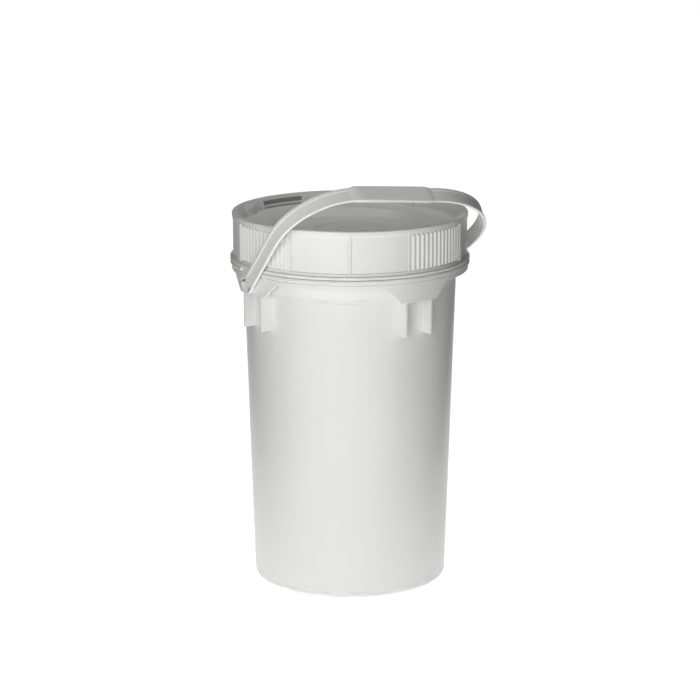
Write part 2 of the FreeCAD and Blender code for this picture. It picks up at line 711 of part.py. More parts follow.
def make_grip():
    """The thick, flat grip, which runs a little way into the left shoulder, and its four ribs."""
    inner = -dim.strap_thickness / 2
    outer = inner + dim.grip_thickness
    edge = dim.grip_width / 2
    right_end = strap_middle - dim.right_bend - dim.grip_setback
    straight_left = dim.left_bend - strap_middle
    upright = as_size(90)
    end = (straight_left - dim.left_bend * dim.grip_left_slope.sine(),
           strap_top - dim.left_bend + dim.left_bend * dim.grip_left_slope.cosine(),
           upright + dim.grip_left_slope)
    middle = (right_end + end[0]) / 2
    block = bail_loft("grip", [
        (right_end, strap_top, upright),
        (middle, strap_top, upright),
        (straight_left, strap_top, upright),
        end,
    ], [
        (inner, -edge, dim.grip_edge),
        (outer, -edge, dim.grip_edge),
        (outer, edge, dim.grip_edge),
        (inner, edge, dim.grip_edge),
    ])
    ribs = []
    for place in (-1.5, -0.5, 0.5, 1.5):
        rib = doc.addObject("Part::Box", "grip_rib_%d" % len(ribs))
        length = dim.grip_width - dim.grip_rib_inset * 2
        bind(rib, Length=dim.grip_rib_out * 2, Width=length, Height=dim.grip_rib_width)
        bail_place(rib, (middle + dim.grip_rib_pitch * place, strap_top, upright),
                   dim.strap_thickness / 2 + dim.grip_rib_out, length / 2, dim.grip_rib_width / 2)
        ribs.append(rib)
    return [block] + ribs


def make_pivots():
    """The hubs, pins and heads at both ends of the bail."""
    head_face = (ear_inside * ear_inside - dim.pin_head_radius * dim.pin_head_radius).root()
    head_face = head_face - dim.side_play
    hub_face = collar_radius + dim.side_play
    body = doc.addObject("PartDesign::Body", "pivots")
    profile = body_sketch(body, "pivot_outline", "XZ_Plane", [
        (head_face - dim.pin_head, ZERO),
        (head_face - dim.pin_head, dim.pin_head_radius),
        (head_face, dim.pin_head_radius),
        (head_face, dim.pin_radius),
        (hub_face, dim.pin_radius),
        (hub_face, dim.hub_radius),
        (strap_inside, dim.hub_radius),
        (strap_inside, dim.strap_width / 2),
        (strap_outside, dim.strap_width / 2),
        (strap_outside, ZERO),
    ])
    pivot = body.newObject("PartDesign::Revolution", "pivot")
    pivot.Profile = profile
    pivot.ReferenceAxis = (profile, ["H_Axis"])
    pivot.Angle = 360.0
    doc.recompute()
    other = body.newObject("PartDesign::Mirrored", "other_pivot")
    other.Originals = [pivot]
    other.MirrorPlane = (origin_part(body, "YZ_Plane"), [""])
    body.Tip = other
    bind(body, Placement__Base__z=pivot_level)
    return body


def make_bail():
    """The bail handle, one moulding from pin to pin."""
    return joined("bail_handle", [make_strap()] + make_grip() + [make_pivots()])


# ---------------------------------------------------------------- build, check and write

NODES = {
    "pail": make_pail(),
    "lid": make_lid(),
    "sealing_ring": make_seal(),
    "bail_handle": make_bail(),
}
doc.recompute()

for thing in doc.Objects:
    if "Invalid" in thing.State or "Error" in thing.State:
        raise RuntimeError("%s failed: %s" % (thing.Name, thing.State))

for node, thing in NODES.items():
    thing.Label = node
    if thing.Shape.isNull() or not thing.Shape.isValid():
        raise RuntimeError("%s has no valid shape" % node)
    print(node, len(thing.Shape.Solids), "solid(s)", round(thing.Shape.Volume / 1000, 1), "cm3",
          thing.Shape.BoundBox)
    thing.Shape.exportStep("parts/%s.step" % node)
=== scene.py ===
import math

import bmesh
import bpy
from mathutils import Matrix, Vector


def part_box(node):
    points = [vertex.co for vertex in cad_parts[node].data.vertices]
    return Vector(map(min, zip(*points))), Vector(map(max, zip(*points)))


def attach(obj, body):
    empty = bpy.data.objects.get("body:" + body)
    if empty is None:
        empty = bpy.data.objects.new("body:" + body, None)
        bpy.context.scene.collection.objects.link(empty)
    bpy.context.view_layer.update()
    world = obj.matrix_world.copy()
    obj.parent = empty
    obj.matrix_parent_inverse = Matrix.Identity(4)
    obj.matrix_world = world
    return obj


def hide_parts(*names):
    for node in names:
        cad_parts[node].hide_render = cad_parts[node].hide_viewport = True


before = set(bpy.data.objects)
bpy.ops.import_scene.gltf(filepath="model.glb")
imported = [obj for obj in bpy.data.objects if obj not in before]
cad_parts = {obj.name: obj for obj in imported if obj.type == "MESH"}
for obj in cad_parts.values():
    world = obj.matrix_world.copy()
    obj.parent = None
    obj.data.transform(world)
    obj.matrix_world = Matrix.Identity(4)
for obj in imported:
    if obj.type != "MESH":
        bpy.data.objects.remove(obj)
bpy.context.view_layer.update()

scene = bpy.context.scene
MM = 0.001


# ---------------------------------------------------------------- studio
# A white paper sweep under soft boxes, as makers of pails use for a catalogue: the main box
# stands at the front left, a weaker one lifts the right, and black cards at both sides draw the edges.

lid_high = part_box("lid")[1]
VIEW_AZIMUTH = math.radians(-35.0)
CAMERA_DISTANCE = 3.128
CAMERA_RISE = 0.179
CAMERA_PITCH = 0.2373
LENS = 123.4
FLOOR_SIZE = 60.0
FLOOR_WHITE, FLOOR_GLOW = 0.9, 1.0
CARD_BLACK, CARD_HEIGHT = 0.02, 1.4
SKY_STRENGTH = 0.12
LIT_SHARE = 0.6


def around(angle, rise=0.0):
    """The direction out from the pail's axis at an angle from the front, as the views count it."""
    return Vector((math.sin(angle) * math.cos(rise), -math.cos(angle) * math.cos(rise), math.sin(rise)))


def make_camera():
    """A long lens a little above the lid, aimed just under it."""
    data = bpy.data.cameras.new("camera")
    data.lens = LENS
    data.sensor_width = 36.0
    data.clip_end = 200.0
    camera = bpy.data.objects.new("camera", data)
    scene.collection.objects.link(camera)
    rim_centre = Vector((0, 0, lid_high.z))
    camera.location = rim_centre + around(VIEW_AZIMUTH, CAMERA_RISE) * CAMERA_DISTANCE
    forward = -around(VIEW_AZIMUTH, CAMERA_PITCH)
    camera.rotation_mode = "QUATERNION"
    camera.rotation_quaternion = forward.to_track_quat("-Z", "Y")
    scene.camera = camera


def soft_box(name, azimuth, rise, distance, width, height, power):
    """A rectangular light that faces the pail from an azimuth counted from the camera's."""
    data = bpy.data.lights.new(name, "AREA")
    data.shape = "RECTANGLE"
    data.size, data.size_y, data.energy = width, height, power
    light = bpy.data.objects.new(name, data)
    scene.collection.objects.link(light)
    middle = Vector((0, 0, lid_high.z * LIT_SHARE))
    out = around(VIEW_AZIMUTH + math.radians(azimuth), math.radians(rise))
    light.location = middle + out * distance
    light.rotation_mode = "QUATERNION"
    light.rotation_quaternion = (-out).to_track_quat("-Z", "Y")


def plain_material(name, color, rough, glow=0.0):
    """Paper for the studio: one colour, which may glow a little."""
    material = bpy.data.materials.new(name)
    material.use_nodes = True
    shader = material.node_tree.nodes["Principled BSDF"]
    shader.inputs["Base Color"].default_value = (*color, 1.0)
    shader.inputs["Roughness"].default_value = rough
    shader.inputs["Emission Color"].default_value = (*color, 1.0)
    shader.inputs["Emission Strength"].default_value = glow
    return material


def flat_card(name, corners, material):
    """A four-cornered sheet that belongs to the studio and not to the pail."""
    mesh = bpy.data.meshes.new(name)
    mesh.from_pydata([tuple(corner) for corner in corners], [], [(0, 1, 2, 3)])
    mesh.materials.append(material)
    card = bpy.data.objects.new(name, mesh)
    scene.collection.objects.link(card)
    return card


def black_card(name, near, far):
    """An upright card beside the pail between two (sideways, towards the camera) points.

    It darkens the pail's sides and stays out of sight, so that it hides nothing in other views.
    """
    across, ahead = around(VIEW_AZIMUTH + math.pi / 2), around(VIEW_AZIMUTH)
    foot = [across * near[0] + ahead * near[1], across * far[0] + ahead * far[1]]
    rise = Vector((0, 0, CARD_HEIGHT))
    card = flat_card(name, [foot[0], foot[1], foot[1] + rise, foot[0] + rise], black_paper)
    card.visible_camera = False


make_camera()
white_paper = plain_material("white_paper", (FLOOR_WHITE,) * 3, 0.9, FLOOR_GLOW)
black_paper = plain_material("black_paper", (CARD_BLACK,) * 3, 0.9)
floor_corners = [Vector((x * FLOOR_SIZE / 2, y * FLOOR_SIZE / 2, 0))
                 for x, y in ((-1, -1), (1, -1), (1, 1), (-1, 1))]
flat_card("floor", floor_corners, white_paper)
black_card("right_card", (0.44, 0.45), (0.78, -1.9))
black_card("left_card", (-0.46, 0.3), (-0.78, -1.9))
# azimuth and rise in degrees, distance, width and height in metres, power in watts
soft_box("main_box", -17, 14, 2.6, 1.0, 1.4, 19)
soft_box("fill_box", 36, 12, 2.8, 0.8, 1.4, 1.5)
soft_box("top_box", 180, 72, 2.2, 2.0, 1.2, 12)
scene.world = bpy.data.worlds.new("studio")
scene.world.use_nodes = True
sky = scene.world.node_tree.nodes["Background"]
sky.inputs["Color"].default_value = (1.0, 1.0, 1.0, 1.0)
sky.inputs["Strength"].default_value = SKY_STRENGTH
scene.view_settings.view_transform = "Standard"


# ---------------------------------------------------------------- pail
# One moulding of white high-density polyethylene: tapered body on a foot ring, collar with a round
# bead and four ears in one skin, and a thin threaded neck. The mould leaves the walls satin, with a
# faint grain; the foot and the bead are rubbed by handling.

BASE_RADIUS, BODY_TOP_RADIUS, COLLAR_LEVEL = 126.7, 139.0, 416.5
NECK_RADIUS, NECK_INSIDE, NECK_TOP = 148.2, 145.6, 485.3
COLLAR_RADIUS, EAR_INSIDE, GROOVE_RADIUS, BEAD_RADIUS = 154.4, 151.8, 153.0, 156.2
APRON_TOP, BEAD_LOW, BEAD_TOP = 422.0, 423.6, 428.8
FOOT_INSIDE, FOOT_DEPTH, PAIL_FLOOR, PAIL_WALL = 116.7, 3.0, 6.2, 2.4
EAR_LOW, EAR_TOP_HALF, EAR_LOW_HALF = 396.5, 48.0, 27.5
BEAD_GAP_HALF = 24.0
ARC_STEPS = 6
COLUMN_STEP = 1.25
SHARP_ANGLE = math.radians(35)
ON_AXIS = 1e-6


class Value:
    """A node's output socket that can be used in sums, in shaders and in geometry nodes alike."""

    def __init__(self, tree, socket):
        self.tree, self.socket = tree, socket

    def math(self, operation, *others):
        """A maths node with this value as its first input."""
        node = self.tree.nodes.new("ShaderNodeMath")
        node.operation = operation
        for slot, value in zip(node.inputs, (self,) + others):
            plug(self.tree, value, slot)
        return Value(self.tree, node.outputs[0])

    def __add__(self, other):
        return self.math("ADD", other)

    def __radd__(self, other):
        return self.math("ADD", other)

    def __mul__(self, other):
        return self.math("MULTIPLY", other)

    def __rmul__(self, other):
        return self.math("MULTIPLY", other)

    def __sub__(self, other):
        return self.math("SUBTRACT", other)

    def __rsub__(self, other):
        return (self * -1.0) + other

    def __truediv__(self, other):
        return self.math("DIVIDE", other)

    def clamp(self, low, high):
        """0 below low, 1 above high and a smooth rise between them."""
        rise = ((self - low) / (high - low)).math("MINIMUM", 1.0).math("MAXIMUM", 0.0)
        return rise * rise * (3.0 - rise * 2.0)


def plug(tree, value, slot):
    """Joins a Value or writes a plain number or vector into an input socket."""
    if isinstance(value, Value):
        tree.links.new(value.socket, slot)
    elif value is not None:
        slot.default_value = value


def node(tree, kind, inputs, output=0, **settings):
    """Adds one node with its settings and inputs, and returns one of its outputs as a Value."""
    made = tree.nodes.new(kind)
    for name, value in settings.items():
        setattr(made, name, value)
    for key, value in inputs.items():
        plug(tree, value, made.inputs[key])
    return Value(tree, made.outputs[output])


def plastic(name, shade, rough, rubbed=None, grain=0.00012, painted_shade_zones=()):
    """Moulded polyethylene: cloudy shade, satin with uneven gloss, fine grain and soft flow waves.

    rubbed is a list of (level, reach) in metres, heights round which the plastic is worn. The last
    argument lists the (low radius, high radius, low level, high level) hollow zones darkened with
    painted shade.
    """
    material = bpy.data.materials.new(name)
    material.use_nodes = True
    tree = material.node_tree
    shader = tree.nodes["Principled BSDF"]
    place = node(tree, "ShaderNodeTexCoord", {}, "Object")
    height = node(tree, "ShaderNodeSeparateXYZ", {"Vector": place}, "Z")
    cloud = node(tree, "ShaderNodeTexNoise", {"Vector": place, "Scale": 9.0, "Detail": 3.0})
    fine = node(tree, "ShaderNodeTexNoise", {"Vector": place, "Scale": 900.0, "Detail": 2.0})
    wave = node(tree, "ShaderNodeTexNoise", {"Vector": place, "Scale": 14.0, "Detail": 1.0})
    specks = node(tree, "ShaderNodeTexNoise", {"Vector": place, "Scale": 160.0, "Detail": 4.0})
    stretched = node(tree, "ShaderNodeVectorMath", {0: place, 1: (40.0, 40.0, 420.0)},
                     operation="MULTIPLY")
    scuffs = node(tree, "ShaderNodeTexNoise", {"Vector": stretched, "Scale": 1.0, "Detail": 5.0})
    wear = scuffs.clamp(0.60, 0.72) * 0.12
    for level, reach in rubbed or ():
        near = 1.0 - (height - level).math("ABSOLUTE").clamp(0.0, reach)
        wear = wear + near * scuffs.clamp(0.45, 0.62)
    wear = wear.math("MINIMUM", 1.0)
    clean = node(tree, "ShaderNodeMix", {
        "Factor": cloud, 6: (*[shade * 0.97] * 2, shade * 0.955, 1),
        7: (*[shade * 1.02] * 2, shade * 1.005, 1)}, 2, data_type="RGBA")
    worn = node(tree, "ShaderNodeMix", {"Factor": wear * 0.55, 6: clean,
                                        7: (*[shade * 0.80] * 2, shade * 0.77, 1)}, 2, data_type="RGBA")
    specks_and_painted_shade = node(tree, "ShaderNodeMix", {"Factor": specks.clamp(0.70, 0.76) * 0.25, 6: worn,
                                           7: (*[shade * 0.62] * 3, 1)}, 2, data_type="RGBA")
    flat = node(tree, "ShaderNodeVectorMath", {0: place, 1: (1.0, 1.0, 0.0)}, operation="MULTIPLY")
    away = node(tree, "ShaderNodeVectorMath", {0: flat}, "Value", operation="LENGTH")
    # Painted shade: inside each hollow zone the base colour is pulled most of the way to a fifth of the
    # shade, standing in for the shadow deep in a pocket.
    for near_radius, far_radius, low, high in painted_shade_zones:
        painted_shade = (away.clamp(near_radius, near_radius + 0.0003) * height.clamp(low, low + 0.0006)
                 * (1.0 - away.clamp(far_radius, far_radius + 0.0003))
                 * (1.0 - height.clamp(high, high + 0.0006)))
        specks_and_painted_shade = node(tree, "ShaderNodeMix", {"Factor": painted_shade * 0.8, 6: specks_and_painted_shade,
                                               7: (*[shade * 0.22] * 3, 1)}, 2, data_type="RGBA")
    plug(tree, specks_and_painted_shade, shader.inputs["Base Color"])
    plug(tree, rough + (cloud - 0.5) * 0.10 + wear * 0.22, shader.inputs["Roughness"])
    bumps = fine * grain + wave * 0.0006 + scuffs * (wear * 0.0002)
    lumps = node(tree, "ShaderNodeBump", {"Height": bumps, "Strength": 0.6, "Distance": 1.0})
    plug(tree, lumps, shader.inputs["Normal"])
    shader.inputs["IOR"].default_value = 1.5
    return material


def rounded(corners):
    """The points of a closed outline of (x, y) or (x, y, radius) corners, with arcs at the radii."""
    points = []
    for index, corner in enumerate(corners):
        here = Vector(corner[:2])
        if len(corner) == 2:
            points.append(here)
            continue
        back = (Vector(corners[index - 1][:2]) - here).normalized()
        ahead = (Vector(corners[(index + 1) % len(corners)][:2]) - here).normalized()
        half_angle = back.angle(ahead) / 2
        centre = here + (back + ahead).normalized() * (corner[2] / math.sin(half_angle))
        first = here + back * (corner[2] / math.tan(half_angle)) - centre
        last = here + ahead * (corner[2] / math.tan(half_angle)) - centre
        start = math.atan2(first.y, first.x)
        sweep = math.atan2(first.x * last.y - first.y * last.x, first.dot(last))
        for step in range(ARC_STEPS + 1):
            angle = start + sweep * step / ARC_STEPS
            points.append(centre + Vector((math.cos(angle), math.sin(angle))) * corner[2])
    return points


def solid(name, build, material):
    """A mesh object from a bmesh builder, welded, with outward normals and clean edges."""
    shape = bmesh.new()
    build(shape)
    bmesh.ops.remove_doubles(shape, verts=shape.verts, dist=1e-7)
    bmesh.ops.recalc_face_normals(shape, faces=shape.faces)
    mesh = bpy.data.meshes.new(name)
    shape.to_mesh(mesh)
    shape.free()
    mesh.materials.append(material)
    thing = bpy.data.objects.new(name, mesh)
    scene.collection.objects.link(thing)
    return smoothed(thing)


def smoothed(thing):
    """Smooth shading with crisp edges, and broad faces kept flat by weighted normals."""
    mesh = thing.data
    mesh.shade_smooth()
    mesh.set_sharp_from_angle(angle=SHARP_ANGLE)
    weights = thing.modifiers.new("weights", "WEIGHTED_NORMAL")
    weights.keep_sharp = True
    return baked(thing)


def baked(thing):
    """Replaces an object's modifiers by the mesh that they make."""
    seen = thing.evaluated_get(bpy.context.evaluated_depsgraph_get())
    mesh = bpy.data.meshes.new_from_object(seen, preserve_all_data_layers=True,
                                           depsgraph=bpy.context.evaluated_depsgraph_get())
    thing.modifiers.clear()
    thing.data = mesh
    mesh.name = thing.name
    return thing


def lathe(name, outline_at, angles, material):
    """Turns an outline of (radius, height) points round Z. outline_at(angle) gives each column."""
    def build(shape):
        columns = []
        for angle in angles:
            out = Vector((math.cos(angle), math.sin(angle), 0)) * MM
            columns.append([shape.verts.new(out * point.x + Vector((0, 0, point.y * MM)))
                            for point in outline_at(angle)])
        for number, column in enumerate(columns):
            beside = columns[(number + 1) % len(columns)]
            for row in range(len(column)):
                below = (row + 1) % len(column)
                corners = [column[row], column[below], beside[below], beside[row]]
                kept = [corner for corner in corners if corner.co.xy.length > ON_AXIS]
                if len(kept) == 4:
                    shape.faces.new(corners)
                elif kept:
                    hub = next(corner for corner in corners if corner not in kept)
                    shape.faces.new(kept + [hub] if corners.index(hub) != 0 else [hub] + kept)
    return solid(name, build, material)


def around_all(step=COLUMN_STEP, extra=()):
    """Column angles for a lathe: even ones, and close ones where the outline changes."""
    even = [step * number for number in range(round(360 / step))]
    degrees = sorted(set(round(angle % 360, 4) for angle in list(even) + list(extra)))
    return [math.radians(angle) for angle in degrees]


def offset_from(angle, axes, radius):
    """Distance along the wall from the nearest of some directions, given in degrees."""
    turns = [(math.degrees(angle) - axis + 180) % 360 - 180 for axis in axes]
    nearest = min(turns, key=abs)
    return radius * math.sin(math.radians(nearest)) if abs(nearest) < 90 else radius


def ease(value):
    """0 below 0, 1 above 1 and a smooth rise between them."""
    value = min(max(value, 0.0), 1.0)
    return value * value * (3 - 2 * value)


def pail_outline(angle):
    """The pail's section: the collar's apron drops into an ear, and the bead stops at the hubs."""
    aside = abs(offset_from(angle, (0, 90, 180, 270), COLLAR_RADIUS))
    drop = min(max((EAR_TOP_HALF - aside) / (EAR_TOP_HALF - EAR_LOW_HALF), 0.0), 1.0)
    low = COLLAR_LEVEL - drop * (COLLAR_LEVEL - EAR_LOW)
    beside = abs(offset_from(angle, (0, 180), BEAD_RADIUS))
    bead = GROOVE_RADIUS + (BEAD_RADIUS - GROOVE_RADIUS) * ease((beside - BEAD_GAP_HALF) / 0.8)
    bulge = min(1.5, (bead - GROOVE_RADIUS) * 0.45 + 0.1)
    return rounded([
        (0, FOOT_DEPTH), (FOOT_INSIDE, FOOT_DEPTH, 0.8), (FOOT_INSIDE, 0, 0.8),
        (BASE_RADIUS, 0, 7.0), (BODY_TOP_RADIUS, COLLAR_LEVEL, 3.0), (NECK_RADIUS, BEAD_LOW, 1.0),
        (EAR_INSIDE, BEAD_LOW, 0.8), (EAR_INSIDE, low, 0.6), (COLLAR_RADIUS, low, 0.9),
        (COLLAR_RADIUS, APRON_TOP, 0.4), (GROOVE_RADIUS, APRON_TOP + 0.1, 0.2),
        (GROOVE_RADIUS, BEAD_LOW), (bead + 0.05, BEAD_LOW, bulge), (bead + 0.05, BEAD_TOP, bulge),
        (NECK_RADIUS, BEAD_TOP, 0.5), (NECK_RADIUS, NECK_TOP, 0.9), (NECK_INSIDE, NECK_TOP, 0.9),
        (NECK_INSIDE, BEAD_LOW + PAIL_WALL, 2.0), (BODY_TOP_RADIUS - PAIL_WALL, COLLAR_LEVEL, 4.0),
        (BASE_RADIUS - PAIL_WALL, PAIL_FLOOR, 7.0), (0, PAIL_FLOOR)])


white_plastic = plastic("pail_plastic", 0.83, 0.34, [(0.004, 0.02), (0.426, 0.004), (0.397, 0.006)])
ear_corners = [axis + side * math.degrees(math.asin(half / COLLAR_RADIUS)) + nudge
               for axis in (0, 90, 180, 270) for side in (-1, 1)
               for half in (EAR_LOW_HALF, EAR_TOP_HALF) for nudge in (-0.25, 0.0, 0.25)]
gap_edges = [axis + side * math.degrees(math.asin(edge / BEAD_RADIUS))
             for axis in (0, 180) for side in (-1, 1) for edge in (24.0, 24.3, 24.6, 24.9)]
pail = lathe("pail_wall", pail_outline, around_all(COLUMN_STEP, ear_corners + gap_edges), white_plastic)
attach(pail, "pail")
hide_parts("pail")


# ---------------------------------------------------------------- fins and pips
# Upright fins under every ear stop the pail from jamming in the one below, and small pips beside
# the bail's hubs hold it upright. Both are moulded with the pail, in the same plastic.

FIN_INNER, FIN_OUTER, FIN_BOTTOM, FIN_SPACING, FIN_THICKNESS = 136.0, 152.2, 351.5, 38.0, 3.4
FIN_ROUNDING = 0.5
PIP_RADIUS, PIP_HEIGHT, PIP_OFFSET, PIP_LEVELS = 1.7, 1.1, 24.5, (408.0, 414.0)


def tree_for(thing, name, sizes):
    """A geometry tree on a modifier, with named number inputs set before it is first evaluated.

    Returns the tree, its incoming geometry and a Value for each size.
    """
    tree = bpy.data.node_groups.new(name, "GeometryNodeTree")
    tree.interface.new_socket("Geometry", in_out="INPUT", socket_type="NodeSocketGeometry")
    tree.interface.new_socket("Geometry", in_out="OUTPUT", socket_type="NodeSocketGeometry")
    sockets = [tree.interface.new_socket(key, in_out="INPUT", socket_type="NodeSocketFloat")
               for key in sizes]
    modifier = thing.modifiers.new(name, "NODES")
    modifier.node_group = tree
    for socket, value in zip(sockets, sizes.values()):
        socket.default_value = value
        modifier[socket.identifier] = float(value)
    entry = tree.nodes.new("NodeGroupInput")
    return tree, Value(tree, entry.outputs[0]), [Value(tree, entry.outputs[number + 1])
                                                 for number in range(len(sizes))]


def close_tree(tree, geometry, material):
    """Ends a geometry tree in real geometry with a material."""
    real = node(tree, "GeometryNodeRealizeInstances", {"Geometry": geometry})
    painted = node(tree, "GeometryNodeSetMaterial", {"Geometry": real, "Material": material})
    leave = tree.nodes.new("NodeGroupOutput")
    plug(tree, painted, leave.inputs[0])


def ring_of(thing, count, step, start=0.0):
    """Repeats an object round Z: count copies, step degrees apart from a start."""
    tree, source, (number, pitch, first) = tree_for(
        thing, thing.name + "_ring", {"Count": count, "Step": step, "Start": start})
    points = node(tree, "GeometryNodePoints", {"Count": number})
    index = node(tree, "GeometryNodeInputIndex", {})
    turn = (index * pitch + first) * math.radians(1)
    spin = node(tree, "ShaderNodeCombineXYZ", {"Z": turn})
    copies = node(tree, "GeometryNodeInstanceOnPoints",
                  {"Points": points, "Instance": source, "Rotation": spin})
    close_tree(tree, copies, thing.data.materials[0])
    return baked(thing)


def slab(name, outline, across, rounding, material, frames=((0, 0),)):
    """Flat pieces cut to an outline of (radius, height) points, each across wide, with soft edges.

    frames is a list of (sideways, turn in degrees) places.
    """
    def build(shape):
        for aside, turn in frames:
            spin = Matrix.Rotation(math.radians(turn), 3, "Z")
            face = shape.faces.new([shape.verts.new(
                spin @ (Vector((point.x, aside - across / 2, point.y)) * MM)) for point in outline])
            grown = bmesh.ops.extrude_face_region(shape, geom=[face])
            moved = [part for part in grown["geom"] if isinstance(part, bmesh.types.BMVert)]
            bmesh.ops.translate(shape, verts=moved, vec=spin @ Vector((0, across * MM, 0)))
        bmesh.ops.recalc_face_normals(shape, faces=shape.faces)
        crisp = [edge for edge in shape.edges if edge.calc_face_angle(0) > 0.5]
        bmesh.ops.bevel(shape, geom=crisp, offset=rounding * MM, segments=3, affect="EDGES",
                        profile=0.5)
    return solid(name, build, material)


fins = slab("pail_fins", rounded([(FIN_INNER, FIN_BOTTOM), (FIN_OUTER, FIN_BOTTOM, 2.0),
                                  (FIN_OUTER, BEAD_LOW + 1), (FIN_INNER, BEAD_LOW + 1)]),
            FIN_THICKNESS, FIN_ROUNDING, white_plastic,
            ((-FIN_SPACING / 2, 0), (FIN_SPACING / 2, 0)))
ring_of(fins, 4, 90.0)
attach(fins, "pail")

pip_turns = 12
pip_face = math.sqrt(COLLAR_RADIUS ** 2 - PIP_OFFSET ** 2)
pip_angles = [2 * math.pi * number / pip_turns for number in range(pip_turns)]
pip_outline = [Vector((PIP_RADIUS * math.cos(lift), PIP_RADIUS * math.sin(lift)))
               for lift in (-0.6, -0.3, 0.0, 0.35, 0.7, 1.05, 1.4)]


def build_pips(shape):
    """Four domed pips round one hub, a pair at each side of it."""
    for level in PIP_LEVELS:
        for aside in (-PIP_OFFSET, PIP_OFFSET):
            middle = Vector((pip_face + PIP_HEIGHT - PIP_RADIUS, aside, level))
            rings = [[shape.verts.new((middle + Vector((
                point.y, point.x * math.cos(angle), point.x * math.sin(angle)))) * MM)
                for angle in pip_angles] for point in pip_outline]
            for low, high in zip(rings, rings[1:]):
                for number in range(pip_turns):
                    beside = (number + 1) % pip_turns
                    shape.faces.new((low[number], low[beside], high[beside], high[number]))
            shape.faces.new(rings[0])
            shape.faces.new(rings[-1])


pips = solid("pail_pips", build_pips, white_plastic)
ring_of(pips, 2, 180.0)
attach(pips, "pail")


# ---------------------------------------------------------------- neck threads
# Four short, blunt threads stand out of the neck, moulded with it. They draw the lid down on its
# ring in a little under a quarter turn.

THREAD_ARC, THREAD_LEAD, THREAD_DEPTH, THREAD_WIDTH, THREAD_CREST = 80.0, 24.0, 1.8, 2.2, 1.0
THREAD_LEVEL, THREAD_STARTS, THREAD_STEPS = 456.0, 4, 64


def threads(name, root, outward, level, first, material):
    """Blunt threads on a wall of some radius, along short helices that fade out at both ends."""
    def build(shape):
        loops = []
        for step in range(THREAD_STEPS + 1):
            part = step / THREAD_STEPS
            fade = ease(part / 0.06) * ease((1 - part) / 0.06) * 0.97 + 0.03
            turn = math.radians(part * THREAD_ARC)
            rise = level + part * THREAD_ARC / 360 * THREAD_LEAD
            section = rounded([
                (-0.4, -THREAD_WIDTH / 2), (-0.4, THREAD_WIDTH / 2),
                (0.0, THREAD_WIDTH / 2), (THREAD_DEPTH * fade, THREAD_CREST / 2, 0.3 * fade),
                (THREAD_DEPTH * fade, -THREAD_CREST / 2, 0.3 * fade), (0.0, -THREAD_WIDTH / 2)])
            out = Vector((math.cos(turn), math.sin(turn), 0))
            loops.append([shape.verts.new((out * (root + outward * point.x)
                                           + Vector((0, 0, rise + point.y * fade))) * MM)
                          for point in section])
        join_loops(shape, loops)
    made = solid(name, build, material)
    return ring_of(made, THREAD_STARTS, 360 / THREAD_STARTS, first)


def join_loops(shape, loops):
    """Skins a row of closed loops and closes both ends."""
    for here, ahead in zip(loops, loops[1:]):
        for number in range(len(here)):
            beside = (number + 1) % len(here)
            shape.faces.new((here[number], here[beside], ahead[beside], ahead[number]))
    shape.faces.new(loops[0])
    shape.faces.new(loops[-1])


neck_threads = threads("neck_threads", NECK_RADIUS, 1, THREAD_LEVEL, 0.0, white_plastic)
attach(neck_threads, "pail")


# ---------------------------------------------------------------- lid
# A screw lid of the same plastic, moulded in one: a skirt of plain panels, a bead at its lower edge,
# a rounded crest, and a recess that steps down to a shallow disc in the middle. Two lugs and a
# pocket on the recess wall hold a wrench that frees a tight lid.

LID_LOW, LID_TOP, LID_INSIDE, SEAL_TOP = 429.4, 490.8, 150.6, 488.1
PANEL_RADIUS, RIM_RADIUS, LID_BEAD_RADIUS = 152.6, 153.7, 156.4
LID_BEAD_TOP, LIP_TOP, BAND_LOW = 433.6, 437.0, 484.2
CREST_INSIDE, BEVEL_INSIDE, BEVEL_LEVEL, WELL_RADIUS = 146.3, 140.9, 484.8, 137.3
DECK, DECK_STEP, DECK_STEP_LOW, INNER_DECK, DISC = 475.8, 104.0, 92.0, 466.3, 464.9
BOSS_RADIUS, RING_OUTER, RING_INNER, CHANNEL, WELL_WALL = 47.0, 19.0, 16.0, 145.0, 2.4
POCKET_ANGLE, POCKET_HALF, POCKET_RADIUS = 97.5, 15.5, 144.0
TONGUE_ANGLE, TONGUE_HALF = 110.6, 1.4
DOME_ANGLE, DOME_HALF, DOME_OUT = 125.0, 5.6, 5.0
HOOK_ANGLE, HOOK_HALF, HOOK_OUT = 19.0, 2.6, 4.2
LID_TURNED = -125.0
DIVIDER_WIDTH, DIVIDER_ANGLE, LINE_WIDTH, LINE_DEPTH = 2.4, 29.0, 0.9, 0.8


def swell(angle, centre, half, edge):
    """1 on the lid's wall within half degrees of a direction, and 0 outside, with soft edges."""
    away = abs((math.degrees(angle) - centre + 180) % 360 - 180)
    return ease((half - away) / edge + 0.5)


line_half = math.degrees(LINE_WIDTH / 2 / PANEL_RADIUS)
line_offset = math.degrees((DIVIDER_WIDTH + LINE_WIDTH) / 2 / PANEL_RADIUS)
line_places = [LID_TURNED + half_turn + divider + side * line_offset
               for half_turn in (0, 180) for divider in (-DIVIDER_ANGLE, 0, DIVIDER_ANGLE)
               for side in (-1, 1)]


